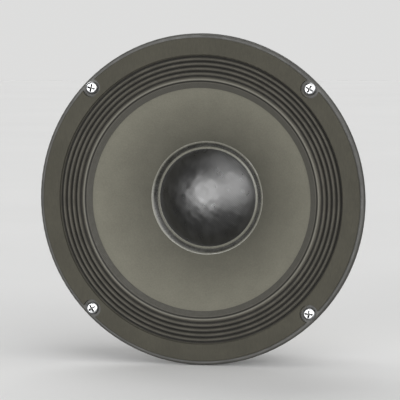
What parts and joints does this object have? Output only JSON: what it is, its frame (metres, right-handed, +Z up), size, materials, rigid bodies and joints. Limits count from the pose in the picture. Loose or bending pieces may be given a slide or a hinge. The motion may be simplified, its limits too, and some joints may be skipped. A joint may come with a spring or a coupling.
{
  "type": "cone loudspeaker driver",
  "caption": "Round car door mid-bass loudspeaker: bolted flange, accordion cloth surround, paper cone, domed dust cap, vented ring magnet motor and sprung push terminals.",
  "frame": {"origin": "centre of the plane where the rear of the flange meets the baffle", "axes": "+Y along the driver's axis into the baffle, so the cone faces -Y; +Z up, with the terminals above the motor"},
  "size_m": [0.209, 0.0899, 0.209],
  "materials": {
    "basket_paint": "satin black-grey powder coat on cast aluminium",
    "gasket_board": "matte dark grey-olive fibre board",
    "screw_plating": "bright zinc plating",
    "plate_steel": "dull zinc plating, turned",
    "pole_steel": "dull zinc plating, turned",
    "ferrite": "dark grey sintered ferrite, ground faces",
    "screen_steel": "blackened steel",
    "motor_screw_steel": "black oxide",
    "board_laminate": "dark brown paper laminate",
    "terminal_plastic": "black moulded plastic",
    "red_plastic": "red moulded plastic",
    "black_plastic": "black moulded plastic",
    "spring_steel": "bright spring wire",
    "tinned_brass": "tinned brass",
    "cone_paper": "grey pressed paper pulp, matte",
    "surround_cloth": "dark doped cloth",
    "cap_cloth": "dark doped cloth with a low sheen",
    "black_glue": "dark glue, half gloss",
    "spider_cloth": "yellow-brown resin-treated cotton",
    "former_film": "amber polyimide-glass film",
    "copper_wire": "enamelled copper",
    "lead_braid": "copper braid"
  },
  "bodies": {
    "basket_body": {"basket": "basket_paint", "front_gasket": "gasket_board", "mounting_screws": "screw_plating", "top_plate": "plate_steel", "magnet": "ferrite", "back_plate": "plate_steel", "pole_piece": "pole_steel", "vent_screen": "screen_steel", "motor_screws": "motor_screw_steel", "terminal_board": "board_laminate", "terminal_board_screws": "screw_plating", "positive_terminal_housing": "terminal_plastic", "negative_terminal_housing": "terminal_plastic", "positive_terminal_spring": "spring_steel", "negative_terminal_spring": "spring_steel", "positive_terminal_contact": "tinned_brass", "negative_terminal_contact": "tinned_brass"},
    "cone_body": {"cone": "cone_paper", "surround": "surround_cloth", "dust_cap": "cap_cloth", "dust_cap_glue": "black_glue", "cone_neck_glue": "black_glue", "lead_eyelets": "tinned_brass", "spider": "spider_cloth", "voice_coil_former": "former_film", "voice_coil_winding": "copper_wire", "positive_lead": "lead_braid", "negative_lead": "lead_braid"},
    "positive_button_body": {"positive_terminal_button": "red_plastic"},
    "negative_button_body": {"negative_terminal_button": "black_plastic"}
  },
  "joints": [
    {"name": "cone_travel", "type": "slide", "parent": "basket_body", "child": "cone_body", "axis": [0, -1, 0], "range_m": [-0.005, 0.005], "stiffness_N_per_m": 2600, "deforming": ["surround", "spider", "positive_lead", "negative_lead"]},
    {"name": "positive_terminal_press", "type": "slide", "parent": "basket_body", "child": "positive_button_body", "axis": [0, -1, 0], "range_m": [0, 0.003], "stiffness_N_per_m": 600, "springref_m": -0.002, "deforming": ["positive_terminal_spring"]},
    {"name": "negative_terminal_press", "type": "slide", "parent": "basket_body", "child": "negative_button_body", "axis": [0, -1, 0], "range_m": [0, 0.003], "stiffness_N_per_m": 600, "springref_m": -0.002, "deforming": ["negative_terminal_spring"]}
  ]
}
